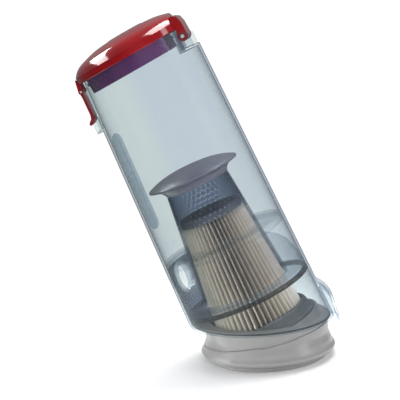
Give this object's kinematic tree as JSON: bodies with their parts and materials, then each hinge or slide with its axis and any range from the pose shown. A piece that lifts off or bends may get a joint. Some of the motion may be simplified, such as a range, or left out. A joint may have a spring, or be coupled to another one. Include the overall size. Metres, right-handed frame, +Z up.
{
  "type": "vacuum dust container with hepa filter",
  "caption": "Clear dust container of a bagless vacuum with a hinged red lid, a cyclone shroud and a pleated cone filter on a grey base that pulls out from below.",
  "frame": {"origin": "centre of the air outlet in the foot plane", "axes": "+Z up from the foot, the container leans towards -X, the front faces -Y"},
  "size_m": [0.2117, 0.1188, 0.3029],
  "materials": {
    "base_grey": "smooth moulded",
    "seal_black": "soft rubber",
    "filter_dark": "moulded",
    "filter_paper": "pleated filter paper",
    "core_white": "moulded",
    "bin_clear": "clear tinted",
    "rail_tint": "tinted",
    "hat_grey": "moulded",
    "shroud_smoke": "smoky translucent",
    "housing_blue": "smoky",
    "pin_steel": "ground",
    "lid_red": "high gloss"
  },
  "bodies": {
    "filter_unit": {"base_shell": "base_grey", "plug_seal": "seal_black", "filter_gasket": "seal_black", "filter_end_ring": "filter_dark", "filter_media": "filter_paper", "filter_core": "core_white", "filter_top_cap": "filter_dark"},
    "container": {"bin_shell": "bin_clear", "guide_rail": "rail_tint", "shroud_cap": "hat_grey", "shroud": "shroud_smoke", "separator_plate": "shroud_smoke", "inlet_housing": "housing_blue", "inlet_ring": "housing_blue", "housing_seal": "seal_black", "hinge_pin": "pin_steel"},
    "lid": {"lid_cover": "lid_red", "lid_plug": "lid_red", "lid_seal": "seal_black", "latch_pin": "pin_steel"},
    "latch": {"latch_lever": "lid_red"}
  },
  "joints": [
    {"name": "bin_lift", "type": "slide", "parent": "filter_unit", "child": "container", "axis": [-0.3518, 0, 0.9361], "range_m": [0, 0.15]},
    {"name": "lid_hinge", "type": "hinge", "parent": "container", "child": "lid", "pos_m": [-0.05227, 0, 0.2835], "axis": [0, 1, 0], "range_deg": [0, 100]},
    {"name": "latch_pivot", "type": "hinge", "parent": "lid", "child": "latch", "pos_m": [-0.14325, 0, 0.24246], "axis": [0, 1, 0], "range_deg": [0, 35], "stiffness_Nm_per_rad": 0.02, "springref_deg": -11.46}
  ]
}
